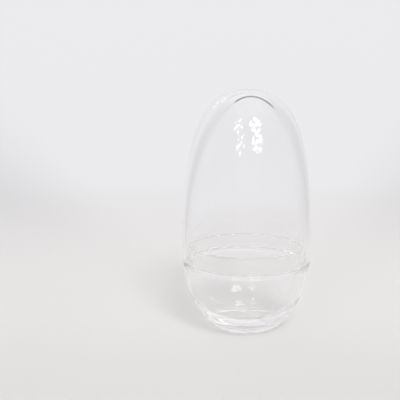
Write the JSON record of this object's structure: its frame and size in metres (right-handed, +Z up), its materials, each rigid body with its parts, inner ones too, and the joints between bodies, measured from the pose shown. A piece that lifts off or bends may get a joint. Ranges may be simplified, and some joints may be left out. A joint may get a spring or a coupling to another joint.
{
  "type": "mini greenhouse pot",
  "caption": "Egg-shaped clear glass greenhouse for one small plant: a round-bottomed bowl with an upright neck, closed by a tall dome that lifts straight off its ledge.",
  "frame": {"origin": "centre of the foot's underside, on the axis that both pieces are turned about", "axes": "+Z up along that axis, +X to the right and -Y towards the viewer; the pot is the same all round"},
  "size_m": [0.11, 0.11, 0.204],
  "materials": {
    "clear_glass": "clear, colourless blown glass with a fire-polished surface"
  },
  "bodies": {
    "bowl": {"bowl": "clear_glass"},
    "dome": {"dome": "clear_glass"}
  },
  "joints": [
    {"name": "dome_lift", "type": "slide", "parent": "bowl", "child": "dome", "axis": [0, 0, 1], "range_m": [0, 0.15]}
  ]
}
